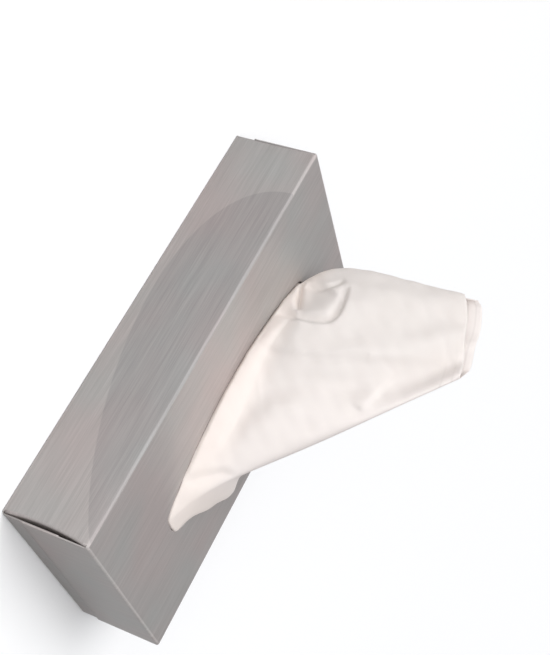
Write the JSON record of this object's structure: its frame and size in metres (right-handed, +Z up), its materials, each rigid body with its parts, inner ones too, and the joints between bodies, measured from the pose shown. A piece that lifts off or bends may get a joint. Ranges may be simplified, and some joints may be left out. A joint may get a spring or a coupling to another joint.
{
  "type": "tissue box",
  "caption": "Flat oblong carton of facial tissues with a torn oval opening in its top panel and one tissue pulled up through it.",
  "frame": {"origin": "middle of the base panel, on the surface the box stands on", "axes": "+X along the box to the finger end of the opening, +Y across the box to the side with the glued lap inside, +Z up through the opening"},
  "size_m": [0.23, 0.116, 0.1447],
  "materials": {
    "board": "satin",
    "tissue": "matte"
  },
  "bodies": {
    "root": {"carton": "board", "tissue_stack": "tissue", "pulled_tissue": "tissue"}
  },
  "joints": []
}
